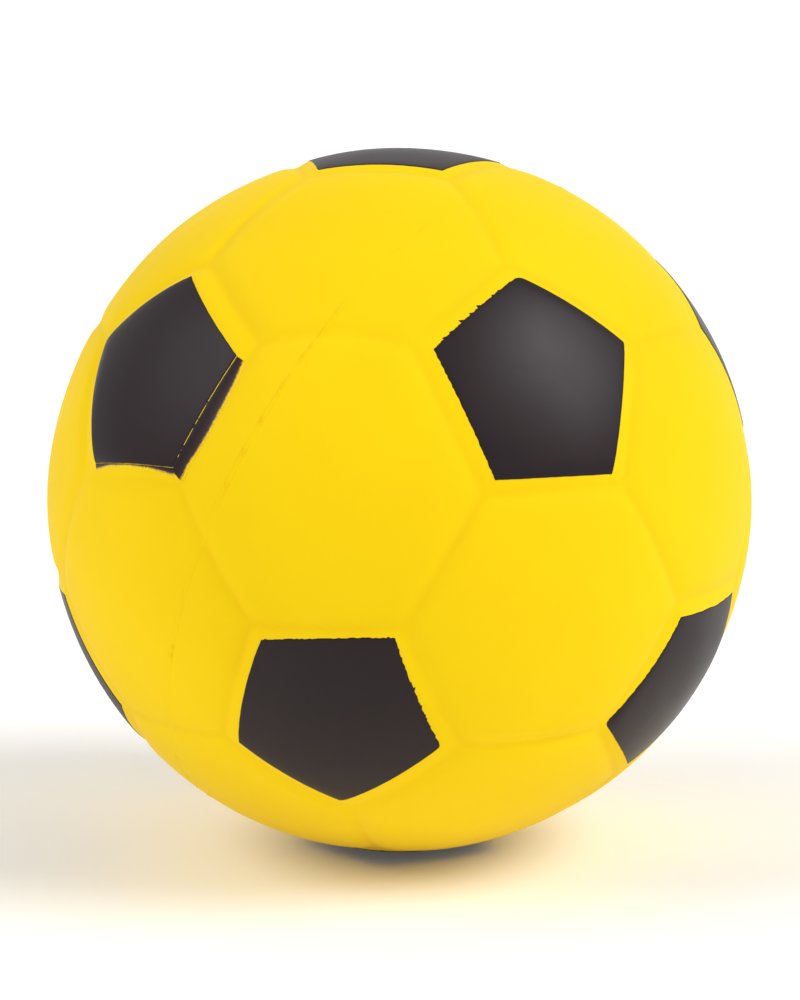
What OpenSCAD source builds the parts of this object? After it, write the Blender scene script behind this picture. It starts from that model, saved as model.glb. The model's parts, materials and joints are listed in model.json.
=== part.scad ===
// Foam stress ball in a football pattern: a soft core, a dense skin moulded in
// two halves, the thin flash where the halves of the mould met, and twelve
// black five-sided paint marks. The origin is the centre of the ball, +Z is up
// and -Y is the front. Sizes are in millimetres.

/* [Ball] */
// Diameter over the crowns of the six-sided panels
ball_d = 63; // [45:1:100]
// How far a six-sided panel's own sphere is shifted off the ball's centre: more makes rounder panels
panel_bulge = 4; // [1:0.5:8]
// Turn of the upper ring of five-sided panels, from the front towards the right, in degrees
pattern_turn = 24.5; // [0:0.5:72]

/* [Skin and core] */
// Thickness of the dense skin under the crown of a six-sided panel
skin_t = 1.6; // [1:0.1:4]
// Gap between the foam core and the skin around it
bond_gap = 0.1; // [0.05:0.05:0.3]

/* [Parting line] */
// Lean of the mould's axis from the middle of the black panel at its pole to a corner of it, in degrees
mould_lean = 3.5; // [0:0.5:6]
// Width of the flash along the mould's axis
flash_w = 0.4; // [0.2:0.1:1.5]
// How far the flash stands proud of the crowns
flash_h = 0.2; // [0.1:0.05:0.6]

/* [Paint marks] */
// Distance from the edge of a paint mark to the seam of its panel
paint_margin = 1.3; // [0.6:0.1:4]
// Thickness of the paint
paint_t = 0.12; // [0.05:0.01:0.3]
// Clearance between the paint and the skin under it
paint_gap = 0.02; // [0.01:0.01:0.1]

/* [Hidden] */
$fn = 128;

// The pattern is a truncated icosahedron. These are its sizes for an edge of 1.
golden = (1 + sqrt(5)) / 2;
pent_corner = 1 / (2 * sin(36));                    // centre of a five-sided face to its corner
ico_radius = 3 / 4 * sqrt(10 + 2 * sqrt(5));        // centre to the tip that a five-sided face cuts off
hex_height = 3 * golden * golden / (2 * sqrt(3));   // centre to a six-sided face
pent_height = ico_radius - sqrt(1 - pent_corner * pent_corner);  // centre to a five-sided face
ring_lat = atan(1 / 2);                             // latitude of each ring of five-sided panels
pent_angle = atan(pent_corner / pent_height);       // centre of a five-sided panel to its corner
hex_angle = atan(1 / hex_height);                   // the same for a six-sided panel

// Each panel is part of a sphere of its own. The centres stand off in inverse
// proportion to the face heights and every sphere has the same power about the
// origin, so two neighbours always meet in the plane of the seam between them.
crown_r = ball_d / 2;
power = crown_r * crown_r - 2 * crown_r * panel_bulge;
hex_off = panel_bulge;
pent_off = panel_bulge * hex_height / pent_height;
hex_r = sqrt(power + hex_off * hex_off);
pent_r = sqrt(power + pent_off * pent_off);

// Radius of the hollow in the skin, which holds the core
hollow_r = crown_r - skin_t;

// Distance from the ball's centre to the corners where three seams meet, and from a
// panel's axis to those corners and to the corners of its paint
corner_reach = pent_off * cos(pent_angle) + sqrt(pow(pent_off * cos(pent_angle), 2) + power);
pent_corner_r = corner_reach * sin(pent_angle);
hex_corner_r = corner_reach * sin(hex_angle);
paint_corner_r = pent_corner_r - paint_margin / cos(36);

// How far a panel's prism laps over its seams, as a share of its size, and where its foot is
panel_lap = 0.12;
prism_foot = 0.8 * hollow_r;

// Azimuth of the first panel of the upper ring, from +X
first_azimuth = pattern_turn - 90;

// Each five-sided panel as [tilt from +Z, azimuth, spin about its own axis]
function pent_places() = concat(
    [[0, first_azimuth, 0]],
    [for (k = [0:4]) [90 - ring_lat, first_azimuth + 72 * k, 36]],
    [for (k = [0:4]) [90 + ring_lat, first_azimuth + 36 + 72 * k, 0]],
    [[180, first_azimuth, 0]]);

function outward(place) = [sin(place[0]) * cos(place[1]), sin(place[0]) * sin(place[1]), cos(place[0])];

PENTS = pent_places();
TOP = 0;
UPPER = 1;                                          // first of the upper ring
LOWER = 6;                                          // first of the lower ring
BOTTOM = 11;
MOULD_POLE = LOWER;                                 // the mould opens along this panel's axis, or near it
MOULD_CORNER = 3;                                   // and leans towards this corner of it

// A six-sided panel lies between each three neighbouring five-sided ones, in four rings. The tilt
// of a ring comes from the sum of the three directions.
function between(a, b, c) = outward(a) + outward(b) + outward(c);
function tilt_of(v) = acos(v[2] / norm(v));
cap_tilt = tilt_of(between(PENTS[TOP], PENTS[UPPER], PENTS[UPPER + 1]));
belt_tilt = tilt_of(between(PENTS[UPPER], PENTS[UPPER + 1], PENTS[LOWER]));
function hex_places() = [for (k = [0:4]) each [
    [cap_tilt, first_azimuth + 36 + 72 * k, 30],
    [belt_tilt, first_azimuth + 36 + 72 * k, 30],
    [180 - belt_tilt, first_azimuth + 72 * k, 30],
    [180 - cap_tilt, first_azimuth + 72 * k, 30]]];

// Turns +Z to the outward direction of a panel
module at_panel(place) {
    rotate([0, place[0], place[1]]) rotate([0, 0, place[2]]) children();
}

// The crown of one panel: its own sphere, kept to a prism along its axis that laps
// over its seams. The foot of the prism is inside the hollow of the skin.
module panel(place, sides, off, r, corner_r) {
    intersection() {
        translate(off * outward(place)) sphere(r = r);
        at_panel(place) translate([0, 0, prism_foot])
            cylinder(r = corner_r * (1 + panel_lap), h = ball_d, $fn = sides);
    }
}

// Turns +Z to the mould's axis
module at_mould() {
    at_panel(PENTS[MOULD_POLE])
        rotate([0, 0, 72 * MOULD_CORNER]) rotate([0, mould_lean, 0]) children();
}

// The panels that may reach past the middle plane on one side
module panels(side) {
    pole = outward(PENTS[MOULD_POLE]);
    for (place = PENTS)
        if (side * outward(place) * pole > -sin(pent_angle + mould_lean))
            panel(place, 5, pent_off, pent_r, pent_corner_r);
    for (place = hex_places())
        if (side * outward(place) * pole > -sin(hex_angle + mould_lean))
            panel(place, 6, hex_off, hex_r, hex_corner_r);
}

// All the space on one side of the flash: side is 1 towards the mould's pole and -1 away from it
module mould_side(side) {
    at_mould()
        translate([-ball_d, -ball_d, side > 0 ? flash_w / 2 : -flash_w / 2 - 2 * ball_d])
            cube(2 * ball_d);
}

module foam_core() {
    color("khaki") sphere(r = hollow_r - bond_gap);
}

module skin_half(side) {
    color("gold") intersection() {
        difference() {
            panels(side);
            sphere(r = hollow_r);
        }
        mould_side(side);
    }
}

module parting_flash() {
    color("goldenrod") at_mould()
        rotate_extrude() translate([hollow_r, -flash_w / 2])
            square([skin_t + flash_h, flash_w]);
}

// One paint mark: the part of a thin shell over the panel's own sphere that lies inside a pentagon
module paint_mark(place) {
    color([0.16, 0.14, 0.14]) intersection() {
        translate(pent_off * outward(place)) difference() {
            sphere(r = pent_r + paint_gap + paint_t);
            sphere(r = pent_r + paint_gap);
        }
        at_panel(place) cylinder(r = paint_corner_r, h = ball_d, $fn = 5);
    }
}

foam_core();
skin_half(1);  // skin_half_right
skin_half(-1);  // skin_half_left
parting_flash();
paint_mark(PENTS[TOP]);  // paint_mark_top
paint_mark(PENTS[UPPER]);  // paint_mark_upper_1
paint_mark(PENTS[UPPER + 1]);  // paint_mark_upper_2
paint_mark(PENTS[UPPER + 2]);  // paint_mark_upper_3
paint_mark(PENTS[UPPER + 3]);  // paint_mark_upper_4
paint_mark(PENTS[UPPER + 4]);  // paint_mark_upper_5
paint_mark(PENTS[LOWER]);  // paint_mark_lower_1
paint_mark(PENTS[LOWER + 1]);  // paint_mark_lower_2
paint_mark(PENTS[LOWER + 2]);  // paint_mark_lower_3
paint_mark(PENTS[LOWER + 3]);  // paint_mark_lower_4
paint_mark(PENTS[LOWER + 4]);  // paint_mark_lower_5
paint_mark(PENTS[BOTTOM]);  // paint_mark_bottom
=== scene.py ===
"""Foam stress ball in a football pattern: its skin, core, mould line and paint, on a studio floor.

Lengths are in metres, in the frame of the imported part: the origin is the ball's centre, +Z is
up and -Y is the front. Every new piece is a lofted surface worked out on a grid of directions
from the ball's centre, so skin, flash and paint all follow the same panelled surface.
"""
import itertools
import json
import logging
import math
from dataclasses import dataclass, field
from enum import Enum
from functools import cached_property

import bpy
import numpy as np
from mathutils import Matrix, Vector


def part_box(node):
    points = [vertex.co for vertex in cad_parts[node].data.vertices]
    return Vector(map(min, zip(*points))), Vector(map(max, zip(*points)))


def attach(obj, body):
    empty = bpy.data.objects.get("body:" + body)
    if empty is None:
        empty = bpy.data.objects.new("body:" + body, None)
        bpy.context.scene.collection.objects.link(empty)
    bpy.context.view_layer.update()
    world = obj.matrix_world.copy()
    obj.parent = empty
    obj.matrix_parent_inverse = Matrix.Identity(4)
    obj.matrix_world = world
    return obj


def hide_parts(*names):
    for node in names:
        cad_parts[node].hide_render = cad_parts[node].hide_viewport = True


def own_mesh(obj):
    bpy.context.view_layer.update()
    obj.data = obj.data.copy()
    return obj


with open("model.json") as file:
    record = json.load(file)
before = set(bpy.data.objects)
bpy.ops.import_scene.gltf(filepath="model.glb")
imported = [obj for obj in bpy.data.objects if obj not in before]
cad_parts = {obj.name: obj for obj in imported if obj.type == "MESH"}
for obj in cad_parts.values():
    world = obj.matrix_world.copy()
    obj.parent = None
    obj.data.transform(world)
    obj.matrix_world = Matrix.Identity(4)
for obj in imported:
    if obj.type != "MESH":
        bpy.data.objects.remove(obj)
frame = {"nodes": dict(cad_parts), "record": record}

LOG = logging.getLogger("ball")
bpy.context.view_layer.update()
MM = 0.001
SHARP = math.radians(55.0)
FIFTH = math.radians(72.0)
UPWARD = np.array([0.0, 0.0, 1.0])
Array = np.ndarray
Colour = tuple[float, float, float]
Span = tuple[float, float]
Settings = dict[str, object]
Tree = bpy.types.ShaderNodeTree


def unit(v: Array) -> Array:
    """Scales each vector along the last axis to length 1."""
    return v / np.linalg.norm(v, axis=-1, keepdims=True)


def smooth_step(x: Array) -> Array:
    """Rises from 0 to 1 with level ends, as 3x^2 - 2x^3 over 0 to 1."""
    x = np.clip(x, 0.0, 1.0)
    return x * x * (3.0 - 2.0 * x)


def swell(points: Array, wavelength: float, seed: int, waves: int = 12) -> Array:
    """Smooth random relief through space: the mean of cosines along random directions.

    Args:
        points: Places, one per row.
        wavelength: Typical distance between two crests, in the points' units.
        seed: Chooses the directions and phases.
        waves: How many cosines are summed.

    Returns:
        One value per point, about -1 to 1.
    """
    shortest, longest = 0.6, 1.4
    dice = np.random.default_rng(seed)
    ways = unit(dice.normal(size=(waves, 3))) * (2.0 * math.pi / wavelength)
    ways *= dice.uniform(shortest, longest, size=(waves, 1))
    phases = dice.uniform(0.0, 2.0 * math.pi, size=waves)
    return np.cos(points @ ways.T + phases).sum(axis=-1) / math.sqrt(waves)


def wander(along: Array, step: float, seed: int) -> Array:
    """Random knots at even steps along a line, joined by straight stretches.

    Args:
        along: Places along the line.
        step: The distance between two knots.
        seed: Chooses the knots' values.

    Returns:
        One jagged value per place, from -1 to 1.
    """
    dice = np.random.default_rng(seed)
    knots = np.arange(along.min() - step, along.max() + 2.0 * step, step)
    return np.interp(along, knots, dice.uniform(-1.0, 1.0, size=len(knots)))


def round_turns(columns: int) -> Array:
    """Evenly spaced turns once round, in radians."""
    return np.arange(columns) * (2.0 * math.pi / columns)


# ---------------------------------------------------------------- meshes


def lofted(name: str, rings: Array, tips: tuple[Array, Array] | None = None) -> bpy.types.Object:
    """A closed surface through rings of points.

    Neighbouring rings are joined by quads. With tips, the first and last rings close in fans
    on those two points. Without tips, the last ring joins the first, as on a torus.

    Args:
        name: The piece's name.
        rings: Points as (ring, place round the ring, xyz).
        tips: The two end points, or None.

    Returns:
        The new object, smooth shaded, with its faces pointing outwards.
    """
    rows, columns, _ = rings.shape
    index = np.arange(rows * columns).reshape(rows, columns)
    if tips is None:
        index = np.vstack([index, index[:1]])
    near, far = index[:-1], index[1:]
    quads = np.stack([near, np.roll(near, -1, 1), np.roll(far, -1, 1), far], axis=-1).reshape(-1, 4)
    points = rings.reshape(-1, 3)
    fans = np.empty((0, 3), int)
    if tips is not None:
        first, last = len(points), len(points) + 1
        points = np.vstack([points, tips[0], tips[1]])
        start, end = index[0], index[-1]
        opening = np.stack([np.full(columns, first), np.roll(start, -1), start], axis=-1)
        closing = np.stack([np.full(columns, last), end, np.roll(end, -1)], axis=-1)
        fans = np.vstack([opening, closing])
    triangles = np.vstack([quads[:, [0, 1, 2]], quads[:, [0, 2, 3]], fans])
    corners = points[triangles]
    volume = np.einsum("ij,ij->", corners[:, 0], np.cross(corners[:, 1], corners[:, 2]))
    if volume < 0.0:
        quads, fans = quads[:, ::-1], fans[:, ::-1]
    mesh = bpy.data.meshes.new(name)
    mesh.vertices.add(len(points))
    mesh.vertices.foreach_set("co", points.astype(np.float32).ravel())
    loops = np.concatenate([quads.ravel(), fans.ravel()])
    mesh.loops.add(len(loops))
    mesh.loops.foreach_set("vertex_index", loops.astype(np.int32))
    starts = np.concatenate([np.arange(len(quads)) * 4, 4 * len(quads) + np.arange(len(fans)) * 3])
    mesh.polygons.add(len(starts))
    mesh.polygons.foreach_set("loop_start", starts.astype(np.int32))
    mesh.update(calc_edges=True)
    mesh.validate()
    mesh.shade_smooth()
    mesh.set_sharp_from_angle(angle=SHARP)
    piece = bpy.data.objects.new(name, mesh)
    bpy.context.scene.collection.objects.link(piece)
    return piece


def joined(name: str, pieces: list[bpy.types.Object]) -> bpy.types.Object:
    """Makes several objects one.

    Args:
        name: The name of the whole.
        pieces: The objects, of which the first takes in the others.

    Returns:
        The first object, renamed.
    """
    bpy.ops.object.select_all(action="DESELECT")
    for piece in pieces:
        piece.select_set(True)
    bpy.context.view_layer.objects.active = pieces[0]
    bpy.ops.object.join()
    pieces[0].name = name
    pieces[0].data.name = name
    return pieces[0]


def node_points(name: str) -> Array:
    """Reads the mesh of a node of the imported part.

    Args:
        name: The node's name.

    Returns:
        Its corners, one per row.
    """
    mesh = frame["nodes"][name].data
    points = np.empty(3 * len(mesh.vertices), np.float32)
    mesh.vertices.foreach_get("co", points)
    return points.reshape(-1, 3).astype(float)


def per_point(piece: bpy.types.Object, name: str, values: Array) -> None:
    """Stores one number per point of a piece's mesh, for its material to read."""
    attribute = piece.data.attributes.new(name, "FLOAT", "POINT")
    attribute.data.foreach_set("value", values.astype(np.float32).ravel())


# ---------------------------------------------------------------- the panelled surface


@dataclass(frozen=True)
class Stray:
    """A place where the mould's seams lie a little off the regular pattern."""

    azimuth: float
    height: float
    shift_up: float
    reach: float


@dataclass(frozen=True)
class PanelPattern:
    """Twelve five-sided and twenty six-sided panels, and the surface that they make.

    Each panel is part of a sphere of its own. The spheres' centres stand off in inverse
    proportion to the face heights and all have the same power about the ball's centre, so
    neighbours meet in the plane of their seam. A soft groove then follows every seam. Its
    depth wanders by a share of itself, and lumps dent the whole surface a little.
    """

    radius: float
    first_azimuth: float
    bulge: float = 1.2 * MM
    groove_depth: float = 0.21 * MM
    groove_reach: float = 0.85 * MM
    depth_wander: float = 0.25
    depth_length: float = 22.0 * MM
    lump_height: float = 0.05 * MM
    lump_length: float = 16.0 * MM
    lump_rarity: float = 1.5
    strays: tuple[Stray, ...] = ()

    @cached_property
    def five_sided(self) -> Array:
        """Outward axes of the five-sided panels, as on an icosahedron.

        Returns:
            Twelve unit axes: top, upper ring, lower ring, bottom.
        """
        latitude = math.atan(0.5)
        turns = self.first_azimuth + np.arange(5) * FIFTH
        rings = []
        for lift, turn in ((latitude, 0.0), (-latitude, FIFTH / 2.0)):
            level = np.full(5, math.sin(lift))
            around = math.cos(lift)
            rings.append(np.stack([around * np.cos(turns + turn), around * np.sin(turns + turn), level], 1))
        return np.vstack([[[0.0, 0.0, 1.0]], *rings, [[0.0, 0.0, -1.0]]])

    @cached_property
    def axes(self) -> Array:
        """Outward axes of all 32 panels.

        A six-sided panel lies between three five-sided ones that are neighbours, and only the
        axes of neighbours add up to more than the least sum.

        Returns:
            The twelve five-sided panels' unit axes, then the twenty six-sided ones'.
        """
        five = self.five_sided
        least_sum = 2.3
        trios = np.array(list(itertools.combinations(range(len(five)), 3)))
        sums = five[trios].sum(axis=1)
        long_enough = np.linalg.norm(sums, axis=1) > least_sum
        return np.vstack([five, unit(sums[long_enough])])

    @cached_property
    def heights(self) -> Array:
        """Distance from the centre to each flat face of a truncated icosahedron.

        Returns:
            One distance per panel, for an edge of 1.
        """
        golden = (1.0 + math.sqrt(5.0)) / 2.0
        corner = 1.0 / (2.0 * math.sin(FIFTH / 2.0))
        tip = 0.75 * math.sqrt(10.0 + 2.0 * math.sqrt(5.0))
        five = tip - math.sqrt(1.0 - corner * corner)
        six = 3.0 * golden * golden / (2.0 * math.sqrt(3.0))
        return np.array([five] * 12 + [six] * 20)

    @cached_property
    def spread(self) -> Array:
        """Length of the difference of each two panels' axes over their heights."""
        scaled = self.axes / self.heights[:, None]
        return np.linalg.norm(scaled[:, None] - scaled[None], axis=-1) + 2.0 * np.eye(32)

    def strayed(self, ways: Array) -> Array:
        """Moves directions back by each stray, so that the pattern there moves on by it.

        Args:
            ways: Unit directions, xyz last.

        Returns:
            The moved unit directions.
        """
        moved = ways.copy()
        for stray in self.strays:
            middle = direction(stray.azimuth, stray.height)
            up = unit(UPWARD - middle[2] * middle)
            away = np.linalg.norm(ways - middle, axis=-1) * self.radius
            pull = stray.shift_up / self.radius * np.exp(-((away / stray.reach) ** 2))
            moved -= pull[..., None] * up
        return unit(moved)

    def seam_distances(self, ways: Array) -> Array:
        """Distance along the surface from each direction to the seams of its own panel.

        Args:
            ways: Unit directions, one per row.

        Returns:
            One row per direction and one column per panel: the distance to the seam plane
            between that panel and the one the direction lies in, and a long way for its own.
        """
        faces = ways @ self.axes.T / self.heights
        own = faces.argmax(axis=1)
        rows = np.arange(len(ways))
        sines = (faces[rows, own][:, None] - faces) / self.spread[own]
        distances = self.radius * np.arcsin(np.clip(sines, 0.0, 1.0))
        distances[rows, own] = self.radius
        return distances

    def reach(self, ways: Array) -> Array:
        """Distance from the centre to the surface of the skin in each direction.

        The crown is the farthest of the panels' spheres. From it comes off a groove with a
        bell-shaped section along every seam, one minus the product of the dips so that
        grooves run into each other at the corners, and a low swell of the whole moulding.

        Args:
            ways: Unit directions, in any grid, xyz last.

        Returns:
            The distances, in the same grid.
        """
        shape = ways.shape[:-1]
        flat = self.strayed(ways.reshape(-1, 3))
        offsets = self.bulge * self.heights[-1] / self.heights
        power = self.radius**2 - 2.0 * self.radius * self.bulge
        lift = flat @ self.axes.T * offsets
        crown = (lift + np.sqrt(lift * lift + power)).max(axis=1)
        distances = self.seam_distances(flat)
        dips = np.exp(-((distances / self.groove_reach) ** 2))
        groove = 1.0 - np.prod(1.0 - dips, axis=1)
        places = flat * self.radius
        depth = self.groove_depth * (1.0 + self.depth_wander * swell(places, self.depth_length, seed=5))
        lumps = self.lump_height * (swell(places, self.lump_length, seed=11) - self.lump_rarity)
        return (crown - depth * groove + np.minimum(lumps, 0.0)).reshape(shape)

    def on_skin(self, ways: Array, above: Array | float = 0.0) -> Array:
        """Points on the skin in the given directions, lifted by above."""
        return ways * (self.reach(ways) + above)[..., None]


def direction(azimuth: float, height: float) -> Array:
    """Unit direction at an azimuth from the front towards the right and a height, in degrees."""
    turn, lift = math.radians(azimuth), math.radians(height)
    return np.array([math.sin(turn) * math.cos(lift), -math.cos(turn) * math.cos(lift), math.sin(lift)])


@dataclass(frozen=True)
class Tangent:
    """An axis from the ball's centre, with the right and up directions of the plane across it."""

    axis: Array
    right: Array
    up: Array

    @classmethod
    def of(cls, axis: Array, upward: Array) -> "Tangent":
        """Builds the plane across an axis, with up as near to upward as it can be."""
        up = unit(upward - (upward @ axis) * axis)
        return cls(axis, np.cross(up, axis), up)

    def polar(self, angles: Array, turns: Array) -> Array:
        """Directions round the axis, as on a globe with the axis as its pole.

        Args:
            angles: Angles from the axis, in radians.
            turns: Turns round the axis, in radians, from the right towards up.

        Returns:
            Unit directions as (angle, turn, xyz).
        """
        away = np.sin(angles)[:, None, None]
        around = np.cos(turns)[:, None] * self.right + np.sin(turns)[:, None] * self.up
        return np.cos(angles)[:, None, None] * self.axis + away * around[None]

    def planar(self, right: Array, up: Array, radius: float) -> Array:
        """Directions through places on the plane that touches the ball at the axis."""
        spots = self.axis * radius + right[..., None] * self.right + up[..., None] * self.up
        return unit(spots)


# ---------------------------------------------------------------- finishes


# Where most of a noise's values lie, the middle of those, and a plain rise.
USUAL = (0.3, 0.7)
MIDDLING = (0.35, 0.65)
RISE = (0.0, 1.0)


class Socket(Enum):
    """Kinds of socket on a node group."""

    NUMBER = "NodeSocketFloat"
    VECTOR = "NodeSocketVector"


class NodeBench:
    """Short ways to place and join nodes in one node tree."""

    def __init__(self, tree: bpy.types.NodeTree) -> None:
        """Keeps the tree to work on."""
        self.tree = tree

    def place(self, kind: str, settings: Settings | None = None, **inputs: object) -> bpy.types.Node:
        """Adds a node.

        Args:
            kind: The node's type name.
            settings: Properties of the node itself.
            **inputs: Values or output sockets for its inputs, by name, with _ for a space.

        Returns:
            The new node.
        """
        node = self.tree.nodes.new(kind)
        for name, value in (settings or {}).items():
            setattr(node, name, value)
        for name, value in inputs.items():
            self.feed(node.inputs[name.replace("_", " ")], value)
        return node

    def feed(self, socket: bpy.types.NodeSocket, value: object) -> None:
        """Joins an output socket to an input, or sets the input's own value.

        Args:
            socket: The input.
            value: An output socket or a constant.
        """
        if isinstance(value, bpy.types.NodeSocket):
            self.tree.links.new(value, socket)
        else:
            socket.default_value = value

    def maths(self, operation: str, *values: object) -> bpy.types.NodeSocket:
        """Adds a Math node.

        Args:
            operation: What the node works out.
            *values: Constants or output sockets, in the order of its inputs.

        Returns:
            The node's result.
        """
        node = self.tree.nodes.new("ShaderNodeMath")
        node.operation = operation
        for socket, value in zip(node.inputs, values):
            self.feed(socket, value)
        return node.outputs[0]

    def between(self, value: object, span: Span, out: Span) -> bpy.types.NodeSocket:
        """Moves a value from one range to another and holds it at the ends.

        Args:
            value: The constant or output socket.
            span: The range that it comes from.
            out: The range that it goes to.

        Returns:
            The moved value.
        """
        node = self.place("ShaderNodeMapRange", {"clamp": True}, Value=value)
        for name, number in zip(("From Min", "From Max", "To Min", "To Max"), (*span, *out)):
            node.inputs[name].default_value = number
        return node.outputs["Result"]

    def mixed(self, factor: object, first: object, second: object) -> bpy.types.NodeSocket:
        """Mixes two colours.

        Args:
            factor: The second colour's share, from 0 to 1.
            first: The colour at 0.
            second: The colour at 1.

        Returns:
            The mixed colour.
        """
        node = self.tree.nodes.new("ShaderNodeMix")
        node.data_type = "RGBA"
        colours = [s for s in node.inputs if s.type == "RGBA"]
        self.feed(node.inputs[0], factor)
        self.feed(colours[0], first)
        self.feed(colours[1], second)
        return next(s for s in node.outputs if s.type == "RGBA")

    def noise(self, place: bpy.types.NodeSocket, scale: float, detail: float = 3.0) -> bpy.types.NodeSocket:
        """Fractal noise at a scale per metre, from 0 to 1."""
        return self.place("ShaderNodeTexNoise", Vector=place, Scale=scale, Detail=detail).outputs[0]


def moulded_grain() -> Tree:
    """Builds the group that every foam and paint finish shares.

    Its inputs are a place, the size of the pores per metre and how many of them are open. Its
    outputs are a height for a bump, a slow mottle from 0 to 1 and a mask of open pores.

    Returns:
        The node group.
    """
    open_scale, slow_scale, mottle_scale = 900.0, 420.0, 75.0
    slow_share, fine_share = 0.6, 0.4
    pore_reach = 0.35
    group = bpy.data.node_groups.new("moulded_grain", "ShaderNodeTree")
    for name, kind, way in (
        ("Place", Socket.VECTOR, "INPUT"),
        ("Pore Scale", Socket.NUMBER, "INPUT"),
        ("Pore Share", Socket.NUMBER, "INPUT"),
        ("Height", Socket.NUMBER, "OUTPUT"),
        ("Mottle", Socket.NUMBER, "OUTPUT"),
        ("Pores", Socket.NUMBER, "OUTPUT"),
    ):
        group.interface.new_socket(name, in_out=way, socket_type=kind.value)
    bench = NodeBench(group)
    inputs = group.nodes.new("NodeGroupInput").outputs
    outputs = group.nodes.new("NodeGroupOutput").inputs
    place, scale = inputs["Place"], inputs["Pore Scale"]
    fine = bench.place("ShaderNodeTexNoise", Vector=place, Scale=scale, Detail=2.0)
    cells = bench.place("ShaderNodeTexVoronoi", Vector=place, Scale=scale)
    open_here = bench.maths("LESS_THAN", bench.noise(place, open_scale, detail=1.0), inputs["Pore Share"])
    hole = bench.between(cells.outputs["Distance"], (0.0, pore_reach), (1.0, 0.0))
    pores = bench.maths("MULTIPLY", hole, open_here)
    slow_grain = bench.maths("MULTIPLY", bench.noise(place, slow_scale, detail=4.0), slow_share)
    relief = bench.maths("MULTIPLY_ADD", fine.outputs[0], fine_share, slow_grain)
    bench.feed(outputs["Height"], bench.maths("SUBTRACT", relief, pores))
    bench.feed(outputs["Mottle"], bench.noise(place, mottle_scale, detail=5.0))
    bench.feed(outputs["Pores"], pores)
    return group


@dataclass(frozen=True)
class Gloss:
    """How a finish shines: roughness, how far it wanders, how strong its mirror is, and its sheen."""

    roughness: float
    wander: float
    specular: float
    sheen: float


@dataclass(frozen=True)
class Finish:
    """What the foam and paint finishes have in common: gloss, pores and relief."""

    name: str
    gloss: Gloss
    pore_scale: float
    pore_share: float
    relief: float

    def begin(self, grain: Tree) -> tuple[bpy.types.Material, NodeBench, bpy.types.Node]:
        """Starts a material.

        Args:
            grain: The shared grain group.

        Returns:
            The empty material, its bench and the grain node, fed with Object coordinates.
        """
        made = bpy.data.materials.new(self.name)
        made.use_nodes = True
        made.node_tree.nodes.clear()
        bench = NodeBench(made.node_tree)
        place = bench.place("ShaderNodeTexCoord").outputs["Object"]
        body = bench.place("ShaderNodeGroup", {"node_tree": grain}, Place=place)
        body.inputs["Pore Scale"].default_value = self.pore_scale
        body.inputs["Pore Share"].default_value = self.pore_share
        return made, bench, body

    def end(self, bench: NodeBench, body: bpy.types.Node, colour: bpy.types.NodeSocket) -> None:
        """Adds the shader, fed with a colour and the grain's roughness and bump.

        Args:
            bench: The material's bench.
            body: The grain node.
            colour: The finished colour.
        """
        low, high = self.gloss.roughness - self.gloss.wander, self.gloss.roughness + self.gloss.wander
        rough = bench.between(body.outputs["Mottle"], USUAL, (low, high))
        height = body.outputs["Height"]
        bump = bench.place("ShaderNodeBump", Height=height, Distance=self.relief, Strength=1.0).outputs[0]
        shader = bench.place("ShaderNodeBsdfPrincipled", Base_Color=colour, Roughness=rough, Normal=bump)
        shader.inputs["Specular IOR Level"].default_value = self.gloss.specular
        shader.inputs["Sheen Weight"].default_value = self.gloss.sheen
        end = bench.place("ShaderNodeOutputMaterial")
        bench.feed(end.inputs["Surface"], shader.outputs[0])


@dataclass(frozen=True)
class FoamFinish(Finish):
    """Yellow polyurethane foam: smooth where the mould formed a skin, open celled inside."""

    lit: Colour
    deep: Colour
    pore_painted_shade: float
    seam_painted_shade: float = 0.22
    stretch_scale: float = 110.0
    stretch_share: Span = (0.15, 1.0)
    mottle_shade: Span = (0.0, 0.12)

    def material(self, grain: Tree) -> bpy.types.Material:
        """Builds the finish: the colour wanders at random from lit to deep, and shade is painted deep in
        the seams and pores.

        Args:
            grain: The shared grain group.

        Returns:
            The material. It reads the point attribute hollow, which is 1 at the bottom of a
            groove, and paints shade there, more in some stretches than in others.
        """
        made, bench, body = self.begin(grain)
        place = bench.place("ShaderNodeTexCoord").outputs["Object"]
        hollow = bench.place("ShaderNodeAttribute", {"attribute_name": "hollow"}).outputs["Fac"]
        patches = bench.noise(place, self.stretch_scale, detail=2.0)
        stretches = bench.between(patches, MIDDLING, self.stretch_share)
        # painted shade: the colour darkens towards deep at the bottom of the grooves and on the flash's
        # dashes
        seam = bench.maths("MULTIPLY", bench.maths("MULTIPLY", hollow, stretches), self.seam_painted_shade)
        mottle = bench.between(body.outputs["Mottle"], MIDDLING, self.mottle_shade)
        # painted shade in the open pores
        pores = bench.maths("MULTIPLY", body.outputs["Pores"], self.pore_painted_shade)
        shade = bench.maths("ADD", bench.maths("ADD", seam, mottle), pores)
        colour = bench.mixed(shade, (*self.lit, 1.0), (*self.deep, 1.0))
        self.end(bench, body, colour)
        return made


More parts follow.
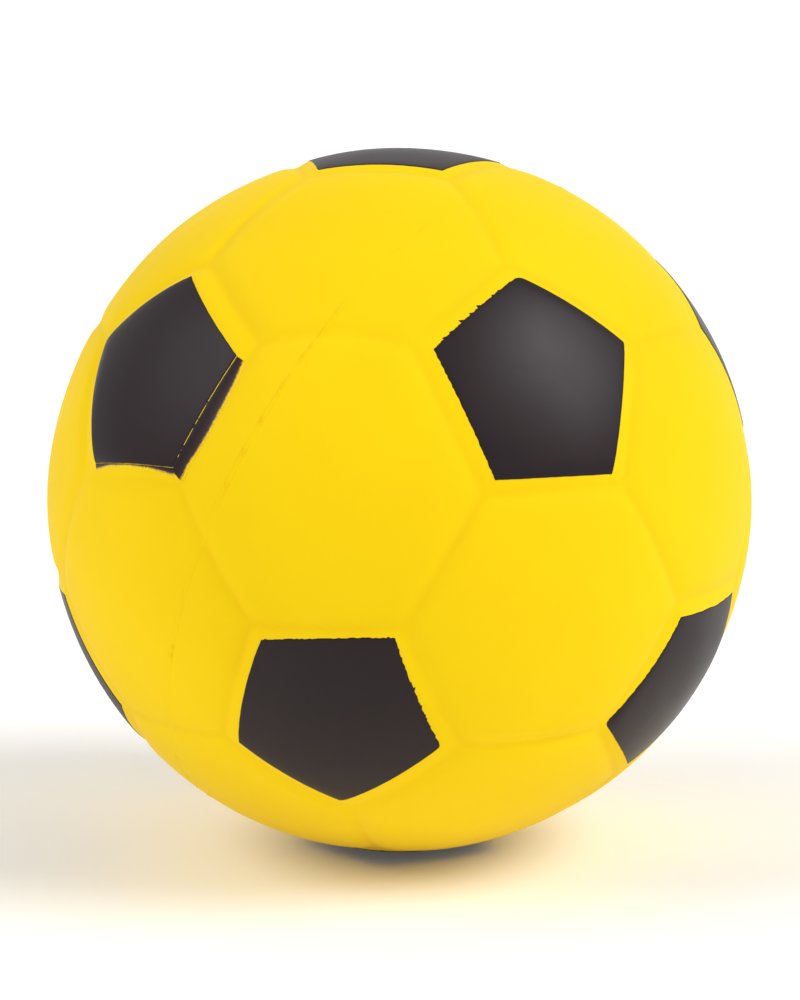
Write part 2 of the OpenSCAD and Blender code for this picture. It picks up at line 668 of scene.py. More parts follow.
@dataclass(frozen=True)
class PaintFinish(Finish):
    """Black paint, satin, browner where it is thin, and gone where it gives out."""

    black: Colour
    blotchy: Colour
    thin: Colour
    bare: Colour
    speck_scale: float = 5200.0
    speck: float = 0.07
    blotchy_from: Span = (0.4, 0.7)
    blotchy_share: Span = (0.0, 0.4)
    thin_span: Span = (0.3, 0.85)
    bare_span: Span = (0.02, 0.35)

    def material(self, grain: Tree) -> bpy.types.Material:
        """Builds the finish: the coverage, broken up by noise, goes from bare to thin to black.

        Args:
            grain: The shared grain group.

        Returns:
            The material. It reads the point attribute coverage, from 0 to 1.
        """
        made, bench, body = self.begin(grain)
        place = bench.place("ShaderNodeTexCoord").outputs["Object"]
        coverage = bench.place("ShaderNodeAttribute", {"attribute_name": "coverage"}).outputs["Fac"]
        specks = bench.between(bench.noise(place, self.speck_scale), USUAL, (-self.speck, self.speck))
        broken = bench.maths("ADD", coverage, specks)
        # the black goes lighter in random soft patches of the mottle
        blotches = bench.between(body.outputs["Mottle"], self.blotchy_from, self.blotchy_share)
        full = bench.mixed(blotches, (*self.black, 1.0), (*self.blotchy, 1.0))
        covered = bench.mixed(bench.between(broken, self.thin_span, RISE), (*self.thin, 1.0), full)
        fading = bench.between(broken, self.bare_span, RISE)
        self.end(bench, body, bench.mixed(fading, (*self.bare, 1.0), covered))
        return made


# ---------------------------------------------------------------- the squeeze


@dataclass(frozen=True)
class Squeeze:
    """How the foam flattens along the mould's axis when both halves are pressed in."""

    axis: Array
    radius: float
    travel: float

    @property
    def keep(self) -> float:
        """Share of its thickness that the ball keeps when it is fully pressed in."""
        return 1.0 - self.travel / self.radius

    def rides_half(self, piece: bpy.types.Object, side: int) -> None:
        """Hangs a piece on the body of one half and gives it a mesh of its own.

        Args:
            piece: The piece.
            side: 1 for the right half, -1 for the left.
        """
        body, joint = ("right_half", "squeeze_right") if side > 0 else ("left_half", "squeeze_left")
        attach(piece, body)
        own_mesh(piece)

    def rides_core(self, piece: bpy.types.Object) -> None:
        """Hangs a piece on the core's body and gives it a mesh of its own."""
        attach(piece, "core")
        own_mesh(piece)


# ---------------------------------------------------------------- skin, core and flash


@dataclass(frozen=True)
class Mould:
    """The mould that the ball was made in: the plane of its parting line and its rim's sizes.

    The hollow is the radius of the space inside the skin, and the gap is how far apart the
    two halves of the skin stay, which the flash fills.
    """

    plane: Tangent
    hollow: float
    gap: float

    def pole(self, side: int) -> Tangent:
        """The plane across the pole of the half on one side."""
        return Tangent.of(side * self.plane.axis, self.plane.up)

    def edge_angle(self, radius: float) -> float:
        """The angle from a pole to the edge of its half, at a distance from the centre."""
        return math.acos(self.gap / 2.0 / radius)

    def turn_of(self, way: Array) -> float:
        """Where a direction lies round the parting line."""
        return math.atan2(way @ self.plane.up, way @ self.plane.right)


@dataclass(frozen=True)
class SkinHalf:
    """One half of the moulded skin: a panelled shell from its pole to the parting plane."""

    node: str
    side: int
    pattern: PanelPattern
    mould: Mould
    rings: int = 210
    columns: int = 440
    inner_rings: int = 12
    lip: float = 0.05 * MM
    shade_line_reach: float = 0.38 * MM

    def shell(self) -> bpy.types.Object:
        """Builds the half.

        Directions run from the pole to the parting plane at even angles, with the last two
        rings close together at the lip. The inner wall is a plain sphere.

        Returns:
            The closed shell, with the attribute hollow, which is 1 at the bottom of a groove, where the
            skin's finish paints shade.
        """
        edge = self.mould.edge_angle(self.pattern.radius)
        angles = np.linspace(0.0, edge, self.rings)[1:]
        angles = np.insert(angles, -1, edge - self.lip / self.pattern.radius)
        turns = round_turns(self.columns)
        pole = self.mould.pole(self.side)
        ways = pole.polar(angles, turns)
        inner_edge = self.mould.edge_angle(self.mould.hollow)
        inner = pole.polar(np.linspace(inner_edge, 0.0, self.inner_rings)[:-1], turns) * self.mould.hollow
        tips = (self.pattern.on_skin(pole.axis[None])[0], pole.axis * self.mould.hollow)
        rings = np.concatenate([self.pattern.on_skin(ways), inner])
        piece = lofted(self.node + "_skin", rings, tips)
        inside = np.zeros(inner[..., 0].size + len(tips))
        # hollow carries the painted shade of the grooves: 1 on a seam, 0 away from it and inside
        per_point(piece, "hollow", np.concatenate([self.line(ways), inside]))
        return piece

    def line(self, ways: Array) -> Array:
        """Marks the seams, where the skin's finish paints shade along the groove bottoms.

        Args:
            ways: Unit directions, xyz last.

        Returns:
            One value per direction, from 0 away from a seam to 1 on it.
        """
        flat = self.pattern.strayed(ways.reshape(-1, 3))
        nearest = self.pattern.seam_distances(flat).min(axis=1)
        return np.exp(-((nearest / self.shade_line_reach) ** 2))

    def build(self, squeeze: Squeeze, material: bpy.types.Material) -> bpy.types.Object:
        """Builds and dresses the half, and hangs it on the body of its half of the ball.

        Args:
            squeeze: How the ball flattens.
            material: The skin's finish.

        Returns:
            The finished piece.
        """
        piece = self.shell()
        piece.data.materials.append(material)
        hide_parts(self.node)
        squeeze.rides_half(piece, self.side)
        return piece


@dataclass(frozen=True)
class FoamCore:
    """The soft open-celled foam that fills the skin."""

    radius: float
    mould: Mould
    rings: int = 96
    columns: int = 192
    cell_depth: float = 0.08 * MM
    cell_sizes: Span = (2.4 * MM, 1.2 * MM)
    cell_shares: Span = (0.6, 0.4)

    def build(self, squeeze: Squeeze, material: bpy.types.Material) -> bpy.types.Object:
        """Builds the core: a sphere whose surface dips by up to a cell, at two sizes of cell.

        Args:
            squeeze: How the ball flattens.
            material: The open-celled finish.

        Returns:
            The finished piece.
        """
        angles = np.linspace(0.0, math.pi, self.rings + 2)[1:-1]
        ways = self.mould.plane.polar(angles, round_turns(self.columns))
        places = ways.reshape(-1, 3) * self.radius
        wide, narrow = (swell(places, size, seed=31 + k) for k, size in enumerate(self.cell_sizes))
        dips = np.clip(1.0 + self.cell_shares[0] * wide + self.cell_shares[1] * narrow, 0.0, 2.0) / 2.0
        reach = self.radius - self.cell_depth * dips
        rings = ways * reach.reshape(ways.shape[:2])[..., None]
        tip = self.mould.plane.axis * (self.radius - self.cell_depth / 2.0)
        piece = lofted("foam_core_cells", rings, (tip, -tip))
        piece.data.materials.append(material)
        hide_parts("foam_core")
        squeeze.rides_core(piece)
        return piece


@dataclass(frozen=True)
class PartingFlash:
    """The thin fin of foam where the two halves of the mould met.

    It is trimmed flush nearly everywhere. Short dashes of it still stand proud, at the given
    azimuths and heights and, as scraps, at random places out of sight of them: a scrap is
    where quick noise tops the rarity inside a swell of slow noise. A share of the height is
    torn off at random. Shade is painted on its colour, a little along the flush line and more
    where it stands proud, as shares of a seam's painted shade, which is 1.
    """

    pattern: PanelPattern
    mould: Mould
    dashes: tuple[Span, ...]
    crest: float = 0.2 * MM
    dash_length: float = 1.9 * MM
    scrap_length: float = 3.2 * MM
    scrap_spacing: float = 26.0 * MM
    scrap_rarity: float = 0.3
    scrap_height: float = 0.8
    clear_of_dashes: float = 0.35
    torn_share: float = 0.45
    tear_step: float = 0.3 * MM
    slack: float = 0.01 * MM
    flush_painted_shade: float = 0.1
    proud_painted_shade: float = 4.2
    columns: int = 1440

    def proud(self, turns: Array) -> Array:
        """The share of the crest that stands at each turn: bells at the dashes, and scraps.

        Args:
            turns: Places round the parting line, in radians.

        Returns:
            One share per turn, from 0 to 1.
        """
        places = np.array([self.mould.turn_of(direction(*dash)) for dash in self.dashes])
        apart = (turns[:, None] - places + math.pi) % (2.0 * math.pi) - math.pi
        bells = np.exp(-((apart * self.pattern.radius / (0.5 * self.dash_length)) ** 2)).max(axis=1)
        circle = np.stack([np.cos(turns), np.sin(turns), np.zeros_like(turns)], axis=1)
        quick = swell(circle * self.pattern.radius, self.scrap_length, seed=42)
        slow = swell(circle * self.pattern.radius, self.scrap_spacing, seed=41)
        clear = 1.0 - np.exp(-((np.abs(apart).min(axis=1) / self.clear_of_dashes) ** 2))
        scraps = smooth_step(quick - self.scrap_rarity) * smooth_step(0.5 + slow) * clear
        tears = wander(turns, self.tear_step / self.pattern.radius, 43)
        whole = 1.0 - self.torn_share + self.torn_share * tears
        return whole * np.maximum(bells, self.scrap_height * scraps)

    def build(self, squeeze: Squeeze, material: bpy.types.Material) -> bpy.types.Object:
        """Builds the fin: a strip that fills the gap, carried round the parting plane.

        The section goes from the hollow up one flat side, over a low round crest and down the
        other side. Its top follows the panels' surface.

        Args:
            squeeze: How the ball flattens.
            material: The skin's finish.

        Returns:
            The finished piece.
        """
        turns = round_turns(self.columns)
        proud = self.proud(turns)
        half = (self.mould.gap - self.slack) / 2.0
        across = np.array([-1.0, -0.9, -0.5, 0.0, 0.5, 0.9, 1.0])
        hump = 1.0 - across**2
        angles = math.pi / 2.0 - across * half / self.pattern.radius
        ways = self.mould.plane.polar(angles, turns)
        top = self.pattern.on_skin(ways, self.crest * hump[:, None] * proud)
        spokes = self.mould.plane.polar(np.array([math.pi / 2.0]), turns)[0] * self.mould.hollow
        sides = half * self.mould.plane.axis
        rings = np.concatenate([[spokes - sides], top, [spokes + sides]])
        piece = lofted("parting_flash_fin", rings)
        # painted shade on the fin: faint where it is flush, deep on the proud dashes and scraps
        shade = self.flush_painted_shade + (self.proud_painted_shade - self.flush_painted_shade) * proud
        below = np.zeros_like(proud)
        per_point(piece, "hollow", np.vstack([below, hump[:, None] * shade, below]))
        piece.data.materials.append(material)
        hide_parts("parting_flash")
        squeeze.rides_core(piece)
        return piece


# ---------------------------------------------------------------- paint


class Edge(Enum):
    """How the paint ends along one side of a mark: (jag height, jag step, bristle height)."""

    CLEAN = (0.015 * MM, 0.5 * MM, 0.0)
    WAVY = (0.06 * MM, 0.8 * MM, 0.0)
    FRAYED = (0.045 * MM, 0.22 * MM, 0.0)
    NICKED = (0.05 * MM, 0.3 * MM, 0.12 * MM)
    BRISTLED = (0.05 * MM, 0.25 * MM, 0.30 * MM)


@dataclass(frozen=True)
class Spike:
    """A bristle of paint on one side, at a share of its length, that leans on along it."""

    side: int
    share: float
    height: float
    slope: float = 0.34 * MM
    drop: float = 0.07 * MM

    def rise(self, along: Array, length: float) -> Array:
        """The bristle's outline: a long slope up and a short drop.

        Args:
            along: Places along the side.
            length: The side's length.

        Returns:
            The bristle's height at each place.
        """
        past = along - self.share * length
        fall = np.where(past < 0.0, -past / self.slope, past / self.drop)
        return self.height * np.clip(1.0 - fall, 0.0, 1.0)


@dataclass(frozen=True)
class Overrun:
    """A strip of paint beyond two sides of a mark, left when the stencil slipped.

    The first side and the next get a strip, and places along them count from 0 to 2. The
    widths, in millimetres, are spread evenly along each side. The turn is where the strip
    starts to go round the corner between them and over how much of a side. A line of bare
    skin, which closes up in places before it opens for good, parts it from the film.
    """

    first_side: int
    widths: tuple[tuple[float, ...], tuple[float, ...]]
    line: Span = (0.04 * MM, 0.08 * MM)
    line_opens: float = 1.45
    opening_rate: float = 4.0
    line_breaks: float = 2.5
    end_gap: float = 0.004
    turn: Span = (0.93, 0.14)
    ragged: float = 0.03 * MM
    ragged_step: float = 0.15
    line_step: float = 0.025
    thinning: float = 0.28
    fade: float = 0.75 * MM
    lift: float = 0.035 * MM
    edge_slope: float = 12.0
    sink: float = 0.02 * MM
    steps: int = 240
    across: tuple[float, ...] = (0.0, 0.04, 0.12, 0.3, 0.5, 0.65, 0.78, 0.9, 1.0)


@dataclass(frozen=True)
class PaintMark:
    """One five-sided mark: a thin closed film of paint that follows the panel under it.

    Corners and sides count anticlockwise as seen from outside, from the corner that points up
    on an upper mark and down on a lower one. Strays are how far each corner lies off its
    regular place, to the right and up, bows how far the middle of each side lies out, and
    blunts how much each corner is rounded, all in millimetres. Jags die away towards the
    ends of a side. The film's rings are shares of its reach and then insets from its edge.
    """

    node: str
    side: int
    pattern: PanelPattern
    plane: Tangent
    first_corner: float
    edges: tuple[Edge, ...]
    strays: tuple[Span, ...] = ((0.0, 0.0),) * 5
    bows: tuple[float, ...] = (0.0,) * 5
    blunts: tuple[float, ...] = (0.0,) * 5
    spikes: tuple[Spike, ...] = ()
    overrun: Overrun | None = None
    seed: int = 1
    corner_radius: float = 9.75 * MM
    rounding: float = 0.02 * MM
    blunt_reach: float = 0.1
    calm_end: float = 0.04
    bristle_gap: Span = (0.05, 0.14)
    bristle_share: Span = (0.3, 1.0)
    bristle_count: int = 12
    thickness: float = 0.05 * MM
    sink: float = 0.02 * MM
    jag_fade: float = 0.15 * MM
    edge_round: float = 0.1 * MM
    brim_cover: float = 0.45
    brim_width: float = 0.08 * MM
    shares: tuple[float, ...] = (0.15, 0.3, 0.45, 0.6, 0.72, 0.84, 0.93)
    insets_mm: tuple[float, ...] = (0.8, 0.4, 0.2, 0.1, 0.05, 0.02, 0.0)
    shares_below: tuple[float, ...] = (0.9, 0.6, 0.3)
    columns: int = 1500

    @cached_property
    def corners(self) -> Array:
        """The corners, on the plane that touches the ball at the panel's centre.

        Returns:
            Five rows of right and up.
        """
        turns = math.radians(self.first_corner) + np.arange(5) * FIFTH
        regular = self.corner_radius * np.stack([np.cos(turns), np.sin(turns)], axis=1)
        return regular + np.array(self.strays) * MM

    def bristles(self, along: Array, length: float, height: float, seed: int) -> Array:
        """Bristles at random uneven distances along a side.

        Args:
            along: Places along the side.
            length: The side's length.
            height: The height of the tallest bristle.
            seed: Chooses the distances and heights.

        Returns:
            How far the bristles reach out at each place.
        """
        dice = np.random.default_rng(seed)
        shares = np.cumsum(dice.uniform(*self.bristle_gap, size=self.bristle_count))
        heights = height * dice.uniform(*self.bristle_share, size=self.bristle_count)
        last = 1.0 - self.bristle_gap[0]
        rises = [Spike(0, s, h).rise(along, length) for s, h in zip(shares, heights) if s < last]
        return np.max(rises, axis=0)

    def one_side(self, k: int, ways: Array) -> tuple[Array, Array]:
        """The line through one side, met by rays from the panel's centre.

        Args:
            k: The side's number.
            ways: Directions on the plane, one per row.

        Returns:
            The reach to the bowed line along each ray, and the reach that its jags add.
        """
        steepest = 0.3
        start, end = self.corners[k], self.corners[(k + 1) % 5]
        run = end - start
        length = math.hypot(*run)
        facing = np.maximum(ways[:, 0] * run[1] - ways[:, 1] * run[0], 1e-9)
        reach = (start[0] * run[1] - start[1] * run[0]) / facing
        along = np.clip(((ways * reach[:, None] - start) @ run) / length, 0.0, length)
        share = along / length
        tilt = np.maximum(facing / length, steepest)
        jag, step, bristle = self.edges[k].value
        out = jag * wander(along, step, self.seed * 10 + k)
        if bristle > 0.0:
            out = out + self.bristles(along, length, bristle, self.seed * 10 + k)
        ends = smooth_step(share / self.calm_end) * smooth_step((1.0 - share) / self.calm_end)
        spikes = sum(s.rise(along, length) for s in self.spikes if s.side == k)
        bow = self.bows[k] * MM * 4.0 * share * (1.0 - share)
        return reach + bow / tilt, (out * ends + spikes) / tilt

    def outline(self) -> tuple[Array, Array, Array]:
        """The paint's edge about the panel's centre.

        A soft minimum over the five sides rounds the corners, over a longer stretch where a
        corner is blunt. The jags of the nearest side are then added.

        Returns:
            The turns about the centre, the smooth reach of the edge and its jagged reach.
        """
        turns = round_turns(self.columns)
        ways = np.stack([np.cos(turns), np.sin(turns)], axis=1)
        sides = [self.one_side(k, ways) for k in range(5)]
        reaches = np.array([side[0] for side in sides])
        jags = np.array([side[1] for side in sides])
        towards = ways @ unit(self.corners).T
        nearness = np.exp(-(2.0 - 2.0 * towards) / self.blunt_reach**2)
        rounding = self.rounding + nearness @ np.array(self.blunts) * MM
        low = reaches.min(axis=0)
        smooth = low - rounding * np.log(np.exp(-(reaches - low) / rounding).sum(axis=0))
        nearest = reaches.argmin(axis=0)[None]
        return turns, smooth, smooth + np.take_along_axis(jags, nearest, axis=0)[0]

    def at(self, reach: Array, turns: Array) -> Array:
        """Directions through places at a reach from the panel's centre, on its plane."""
        return self.plane.planar(reach * np.cos(turns), reach * np.sin(turns), self.pattern.radius)

    def film(self) -> bpy.types.Object:
        """Builds the film.

        From the middle out, rings are shares of the smooth outline, then insets from the
        jagged edge, where the top rounds down to the skin as a quarter circle. The underside
        lies a little inside the skin.

        Returns:
            The closed film, with the attribute coverage, which falls off at the very edge.
        """
        turns, smooth, jagged = self.outline()
        insets = np.array(self.insets_mm) * MM
        shares = np.array(self.shares)
        below = np.array(self.shares_below)
        jag = np.exp(-insets / self.jag_fade)[:, None] * (jagged - smooth)
        outer = smooth - insets[:, None] + jag
        reach = np.vstack([shares[:, None] * (smooth - insets[0]), outer])
        rounded = np.clip(1.0 - insets / self.edge_round, 0.0, 1.0)
        lift = np.concatenate([np.ones(len(shares)), np.sqrt(1.0 - rounded**2)]) * self.thickness
        top = self.pattern.on_skin(self.at(reach, turns), lift[:, None])
        under_reach = np.vstack([outer[-1], below[:, None] * smooth])
        under = self.pattern.on_skin(self.at(under_reach, turns), -self.sink)
        centre = np.stack([self.plane.axis, self.plane.axis])
        tips = self.pattern.on_skin(centre, np.array([self.thickness, -self.sink]))
        piece = lofted(self.node + "_film", np.concatenate([top, under]), tips)
        brim = np.clip(self.brim_cover + insets / self.brim_width, 0.0, 1.0)
        cover = np.concatenate([np.ones(len(shares)), brim, np.full(len(under), brim[-1])])
        per_point(piece, "coverage", np.concatenate([np.repeat(cover, self.columns), [1.0, brim[-1]]]))
        return piece

    def strip(self, run: Overrun) -> bpy.types.Object:
        """Builds the strip of an overrun.

        Stations go along both sides. At each, the strip runs outwards from the bare line to
        its width along the sides' normals, which turn into each other at the corner and are
        stretched there as in a mitre.

        Args:
            run: The overrun.

        Returns:
            The closed strip, with the attribute coverage, which fades towards its outer edge.
        """
        first = run.first_side
        points = self.corners[[first, (first + 1) % 5, (first + 2) % 5]]
        runs = unit(np.diff(points, axis=0))
        outwards = np.stack([runs[:, 1], -runs[:, 0]], axis=1)
        along = np.linspace(run.end_gap, 2.0 - run.end_gap, run.steps)
        part = np.minimum(along.astype(int), 1)
        share = along - part
        bows = np.array([self.bows[first], self.bows[(first + 1) % 5]])[part] * MM
        base = points[part] + (points[part + 1] - points[part]) * share[:, None]
        base = base + outwards[part] * (4.0 * bows * share * (1.0 - share))[:, None]
        turned = smooth_step((along - run.turn[0]) / run.turn[1])[:, None]
        normal = outwards[0] * (1.0 - turned) + outwards[1] * turned
        normal = normal / (normal**2).sum(axis=1, keepdims=True)
        knots = np.concatenate([np.linspace(k, k + 1, len(w)) for k, w in enumerate(run.widths)])
        width = np.interp(along, knots, np.concatenate(run.widths)) * MM
        width = width + run.ragged * wander(along, run.ragged_step, self.seed + 70)
        breaks = run.line_breaks * wander(along, run.line_step, self.seed + 71)
        open_share = smooth_step(2.0 + run.opening_rate * (along - run.line_opens) + breaks)
        line = np.array(run.line)[part] * np.where(part > 0, open_share, 1.0)
        across = np.array(run.across)
        reach = line[:, None] + across * (width - line)[:, None]
        spots = base[:, None] + normal[:, None] * reach[..., None]
        ways = self.plane.planar(spots[..., 0], spots[..., 1], self.pattern.radius)
        lift = run.lift * np.minimum(1.0, 0.5 + across * run.edge_slope)
        top = self.pattern.on_skin(ways, lift)
        under = self.pattern.on_skin(ways[:, [-1, 4, 0]], -run.sink)
        rings = np.concatenate([top, under], axis=1)
        piece = lofted(self.node + "_strip", rings, (rings[0].mean(axis=0), rings[-1].mean(axis=0)))
        fading = smooth_step((1.0 - across) * width[:, None] / run.fade)
        thin = 1.0 - run.thinning * smooth_step((across - 0.15) / 0.3)
        cover = np.concatenate([fading * thin, np.zeros((run.steps, 3))], axis=1)
        per_point(piece, "coverage", np.concatenate([cover.ravel(), [1.0, 1.0]]))
        return piece

    def build(self, squeeze: Squeeze, material: bpy.types.Material) -> bpy.types.Object:
        """Builds and dresses the mark, and hands it to its half of the ball.

        Args:
            squeeze: How the ball flattens.
            material: The paint's finish.

        Returns:
            The finished piece.
        """
        piece = self.film()
        if self.overrun is not None:
            piece = joined(piece.name, [piece, self.strip(self.overrun)])
        piece.data.materials.append(material)
        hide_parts(self.node)
        squeeze.rides_half(piece, self.side)
        return piece


# ---------------------------------------------------------------- the studio


@dataclass(frozen=True)
class Softbox:
    """A large soft light, far enough away to light ball and floor alike."""

    name: str
    azimuth: float
    height: float
    spread: float
    strength: float

    def hang(self) -> None:
        """Places the light. Its spread is the angle that it takes up as the ball sees it."""
        lamp = bpy.data.lights.new(self.name, "SUN")
        lamp.angle = math.radians(self.spread)
        lamp.energy = self.strength
        way = Vector(direction(self.azimuth, self.height))
        holder = bpy.data.objects.new(self.name, lamp)
        holder.location = way
        holder.rotation_euler = way.to_track_quat("Z", "Y").to_euler()
        bpy.context.scene.collection.objects.link(holder)


@dataclass(frozen=True)
class Studio:
    """A pale floor that sweeps up behind, lit a little from below, soft light and the camera."""

    floor_level: float
    surround: float
    softboxes: tuple[Softbox, ...]
    paper: float = 0.97
    glow: float = 0.05
    depth: float = 2.4
    width: float = 5.0
    bend: float = 0.9
    top: float = 2.5
    flat_steps: int = 24
    rise_steps: int = 6
    width_steps: int = 9

    def floor(self) -> None:
        """Builds the floor and the sweep behind it as one sheet along a bent profile."""
        flat = np.linspace(-self.depth, self.depth, self.flat_steps)
        curve = np.linspace(0.0, math.pi / 2.0, self.flat_steps)[1:]
        rise = np.linspace(self.bend, self.top, self.rise_steps)[1:]
        wall = np.full(len(rise), self.depth + self.bend)
        y = np.concatenate([flat, self.depth + self.bend * np.sin(curve), wall])
        z = np.concatenate([np.zeros(len(flat)), self.bend * (1.0 - np.cos(curve)), rise])
        x = np.linspace(-self.width / 2.0, self.width / 2.0, self.width_steps)
        rows, columns = len(y), len(x)
        level = np.repeat(z + self.floor_level, columns)
        points = np.stack([np.tile(x, rows), np.repeat(y, columns), level], 1)
        index = np.arange(rows * columns).reshape(rows, columns)
        quads = np.stack([index[:-1, :-1], index[:-1, 1:], index[1:, 1:], index[1:, :-1]], -1)
        mesh = bpy.data.meshes.new("floor")
        mesh.from_pydata(points.tolist(), [], quads.reshape(-1, 4).tolist())
        mesh.shade_smooth()
        sheet = bpy.data.objects.new("floor", mesh)
        bpy.context.scene.collection.objects.link(sheet)
        paper = bpy.data.materials.new("floor_paper")
        paper.use_nodes = True
        inputs = paper.node_tree.nodes["Principled BSDF"].inputs
        inputs["Base Color"].default_value = (self.paper, self.paper, self.paper, 1.0)
        inputs["Roughness"].default_value = 0.9
        inputs["Specular IOR Level"].default_value = 0.1
        inputs["Emission Color"].default_value = (1.0, 1.0, 1.0, 1.0)
        inputs["Emission Strength"].default_value = self.glow
        mesh.materials.append(paper)

    def light(self) -> None:
        """Sets the even white surround and hangs the softboxes."""
        world = bpy.data.worlds.new("surround")
        world.use_nodes = True
        inputs = world.node_tree.nodes["Background"].inputs
        inputs["Color"].default_value = (1.0, 1.0, 1.0, 1.0)
        inputs["Strength"].default_value = self.surround
        bpy.context.scene.world = world
        for softbox in self.softboxes:
            softbox.hang()
        bpy.context.scene.view_settings.view_transform = "Standard"

    def camera(self, azimuth: float, height: float, away: float, lens: float, roll: float) -> None:
        """Sets the camera, aimed at the ball's centre.

        Args:
            azimuth: Degrees from the front towards the right.
            height: Degrees above the level.
            away: Distance from the centre.
            lens: Focal length in millimetres.
            roll: Degrees that the camera leans.
        """
        data = bpy.data.cameras.new("camera")
        data.lens = lens
        data.sensor_width = 36.0
        data.clip_start = 0.01
        way = Vector(direction(azimuth, height))
        holder = bpy.data.objects.new("camera", data)
        turn = way.to_track_quat("Z", "Y").to_matrix() @ Matrix.Rotation(math.radians(roll), 3, "Z")
        holder.matrix_world = Matrix.Translation(way * away) @ turn.to_4x4()
        bpy.context.scene.collection.objects.link(holder)
        bpy.context.scene.camera = holder


# ---------------------------------------------------------------- the ball


FRONT_STRAY = Stray(azimuth=-12.0, height=34.0, shift_up=1.7 * MM, reach=9.0 * MM)
FLASH_DASHES = (
    (-10.9, 38.6),
    (-13.1, 34.6),
    (-15.6, 31.6),
    (-19.1, 26.0),
    (-22.8, 21.0),
    (-24.0, 15.5),
    (-25.2, 10.0),
    (-39.0, -15.9),
)


@dataclass
class Ball:
    """The whole ball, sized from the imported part."""

    record: dict
    pieces: list[bpy.types.Object] = field(default_factory=list)

    def __post_init__(self) -> None:
        """Takes the radius, the mould and the pattern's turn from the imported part.

        The flash gives the mould's gap, as its extent along the mould's axis, and the hollow,
        as its least distance from that axis. The highest corner of the first upper mark gives
        the pattern's turn.
        """
        mounts = {m["name"]: m for m in self.record["mounts"]}
        joints = {j["name"]: j for j in self.record["behaviour"]["joints"]}
        self.radius = -mounts["palm_rest"]["pos_m"][2]
        axis = -unit(np.array(joints["squeeze_right"]["axis"]))
        low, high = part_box("foam_core")
        self.core_radius = (high.z - low.z) / 2.0
        fin = node_points("parting_flash")
        level = fin @ axis
        hollow = np.linalg.norm(fin - level[:, None] * axis, axis=1).min()
        self.mould = Mould(Tangent.of(axis, UPWARD), hollow, np.ptp(level))
        film = node_points("paint_mark_upper_1")
        tip = film[film[:, 2].argmax()]
        self.pattern = PanelPattern(self.radius, math.atan2(tip[1], tip[0]), strays=(FRONT_STRAY,))
        self.squeeze = Squeeze(axis, self.radius, joints["squeeze_right"]["range_m"][1])

    def mark(self, node: str, number: int, details: Settings) -> PaintMark:
        """One paint mark on the numbered five-sided panel.

        Args:
            node: The CAD node that it replaces.
            number: Its panel, in the pattern's order.
            details: How it was painted, as fields of the mark.

        Returns:
            The mark, on the half of the ball where its panel lies.
        """
        axis = self.pattern.five_sided[number]
        upward = UPWARD
        at_a_pole = number in (0, 11)
        if at_a_pole:
            first = self.pattern.first_azimuth
            upward = -np.array([math.cos(first), math.sin(first), 0.0]) * axis[2]
        side = 1 if axis @ self.squeeze.axis > 0.0 else -1
        first_corner = 90.0 if 0 < number < 6 else -90.0
        plane = Tangent.of(axis, upward)
        return PaintMark(node, side, self.pattern, plane, first_corner, seed=number + 1, **details)


def spikes_on(side: int, *places: Span) -> tuple[Spike, ...]:
    """Spikes on one side of a mark, each at a share of its length and a height in millimetres."""
    return tuple(Spike(side, share, height * MM) for share, height in places)


def mark_details() -> dict[str, Settings]:
    """How each of the twelve marks was painted.

    Returns:
        The fields of each mark, by its node and in the panels' order.
    """
    clean, wavy, frayed, nicked, bristled = Edge
    slipped = Overrun(2, ((0.75, 0.38, 0.36, 0.45, 0.8), (1.4, 1.72, 1.86, 1.72, 1.5, 1.05)))
    return {
        "paint_mark_top": dict(edges=(clean, wavy, clean, frayed, clean)),
        "paint_mark_upper_1": dict(
            edges=(frayed, frayed, clean, clean, clean),
            strays=((0.65, 0.35), (0.4, 0.75), (0.05, -0.25), (-0.3, -0.55), (0.3, 0.5)),
            blunts=(0.28, 0.0, 0.0, 0.0, 0.04),
            bows=(0.05, 0.05, 0.03, -0.1, 0.05),
            spikes=spikes_on(
                0,
                (0.88, 0.20),
                (0.81, 0.16),
                (0.68, 0.34),
                (0.58, 0.20),
                (0.49, 0.32),
                (0.33, 0.14),
                (0.26, 0.12),
            ),
        ),
        "paint_mark_upper_2": dict(edges=(clean, frayed, clean, clean, wavy)),
        "paint_mark_upper_3": dict(edges=(frayed, clean, clean, nicked, clean)),
        "paint_mark_upper_4": dict(edges=(clean, clean, wavy, clean, bristled)),
        "paint_mark_upper_5": dict(
            edges=(clean,) * 5,
            strays=((-0.95, -0.1), (-0.9, -0.15), (0.75, -0.6), (0.0, 0.2), (-0.4, -0.1)),
            bows=(0.2, 0.25, -0.1, 0.1, -0.15),
            overrun=slipped,
        ),
        "paint_mark_lower_1": dict(
            edges=(wavy, clean, wavy, frayed, clean),
            strays=((0.0, 0.0), (0.0, 0.0), (0.0, 0.0), (-0.1, -0.2), (-1.1, 0.0)),
            blunts=(0.0, 0.0, 0.0, 0.0, 0.3),
            bows=(0.0, 0.0, 0.0, -0.08, 0.0),
        ),
        "paint_mark_lower_2": dict(edges=(clean, nicked, clean, frayed, clean)),
        "paint_mark_lower_3": dict(edges=(wavy, clean, bristled, clean, clean)),
        "paint_mark_lower_4": dict(edges=(clean, clean, frayed, clean, clean)),
        "paint_mark_lower_5": dict(
            edges=(clean, nicked, frayed, clean, clean),
            strays=((-0.85, -0.45), (-0.4, -0.05), (0.25, 0.6), (0.05, 0.05), (0.05, -0.75)),
            blunts=(0.0, 0.16, 0.0, 0.0, 0.0),
            bows=(0.06, -0.15, 0.3, 0.3, 0.03),
            spikes=spikes_on(1, (0.42, 0.12), (0.58, 0.20), (0.3, 0.10))
            + spikes_on(2, (0.06, 0.16), (0.97, 0.10)),
        ),
        "paint_mark_bottom": dict(edges=(clean, frayed, clean, wavy, clean)),
    }


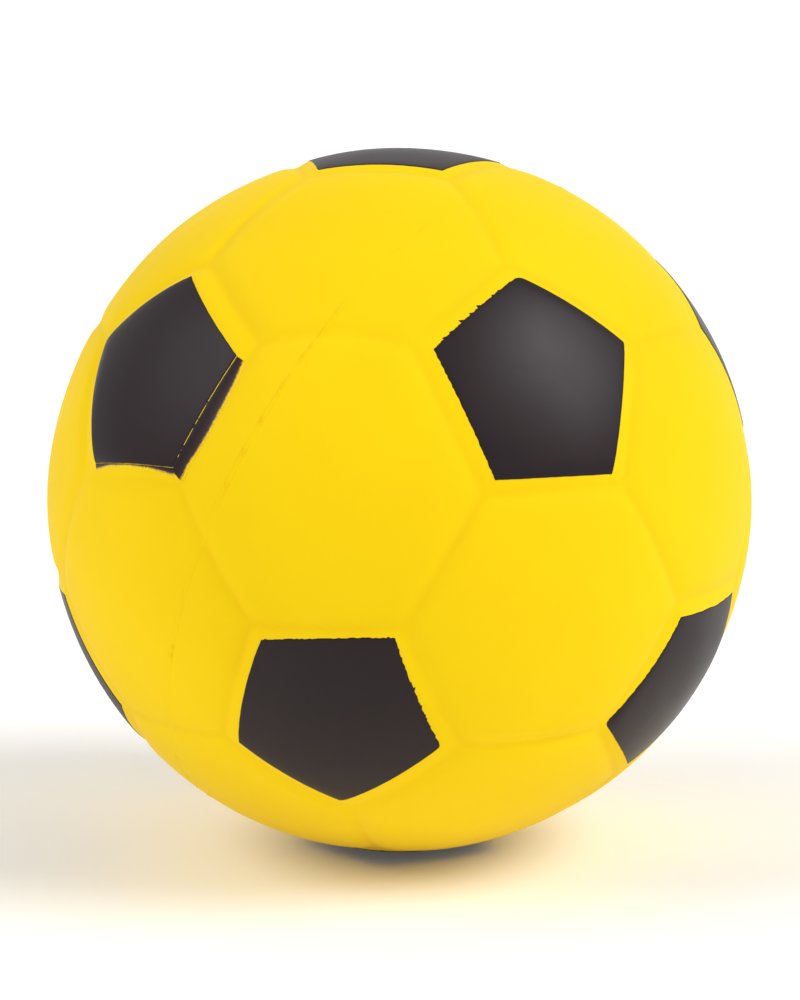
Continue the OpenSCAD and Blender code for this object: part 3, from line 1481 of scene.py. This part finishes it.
def finishes() -> tuple[FoamFinish, FoamFinish, PaintFinish]:
    """Mixes the colours and sets the gloss of everything on the ball.

    Returns:
        The foam's skin, its open cells inside and the paint.
    """
    # deep is the painted shade in the grooves, pores and flash dashes, and the dark end of the skin's
    # random mottle
    lit, deep = (0.93, 0.64, 0.0035), (0.74, 0.40, 0.002)
    skin = FoamFinish(
        "skin_foam",
        gloss=Gloss(roughness=0.6, wander=0.03, specular=0.05, sheen=0.03),
        pore_scale=2400.0,
        pore_share=0.12,
        relief=0.012 * MM,
        lit=lit,
        deep=deep,
        pore_painted_shade=0.2,
    )
    # the open cells are painted fully deep as shade in their pores
    cells = FoamFinish(
        "core_foam",
        gloss=Gloss(roughness=0.9, wander=0.03, specular=0.1, sheen=0.0),
        pore_scale=900.0,
        pore_share=0.9,
        relief=0.3 * MM,
        lit=lit,
        deep=deep,
        pore_painted_shade=1.0,
    )
    paint = PaintFinish(
        "black_paint",
        gloss=Gloss(roughness=0.42, wander=0.07, specular=0.24, sheen=0.0),
        pore_scale=2600.0,
        pore_share=0.2,
        relief=0.01 * MM,
        black=(0.0120, 0.0050, 0.0065),
        blotchy=(0.020, 0.011, 0.014),
        thin=(0.062, 0.026, 0.024),
        bare=lit,
    )
    return skin, cells, paint


def main() -> None:
    """Builds the studio, the finishes and the ball's pieces, in order."""
    logging.basicConfig(level=logging.INFO, format="%(message)s")
    ball = Ball(frame["record"])
    key = Softbox("key", azimuth=70.0, height=42.0, spread=34.0, strength=1.88)
    fill = Softbox("fill", azimuth=-75.0, height=40.0, spread=36.0, strength=1.07)
    studio = Studio(floor_level=-ball.radius, surround=0.5, softboxes=(key, fill))
    studio.camera(azimuth=0.0, height=9.41, away=8.43 * ball.radius, lens=106.4, roll=-0.44)
    studio.floor()
    studio.light()
    grain = moulded_grain()
    skin, cells, paint = (finish.material(grain) for finish in finishes())
    ball.pieces.append(FoamCore(ball.core_radius, ball.mould).build(ball.squeeze, cells))
    for node, side in (("skin_half_right", 1), ("skin_half_left", -1)):
        half = SkinHalf(node, side, ball.pattern, ball.mould)
        ball.pieces.append(half.build(ball.squeeze, skin))
    flash = PartingFlash(ball.pattern, ball.mould, FLASH_DASHES)
    ball.pieces.append(flash.build(ball.squeeze, skin))
    for number, (node, details) in enumerate(mark_details().items()):
        ball.pieces.append(ball.mark(node, number, details).build(ball.squeeze, paint))
    for piece in ball.pieces:
        LOG.info("%s: %d faces", piece.name, len(piece.data.polygons))


if __name__ == "__main__":
    main()
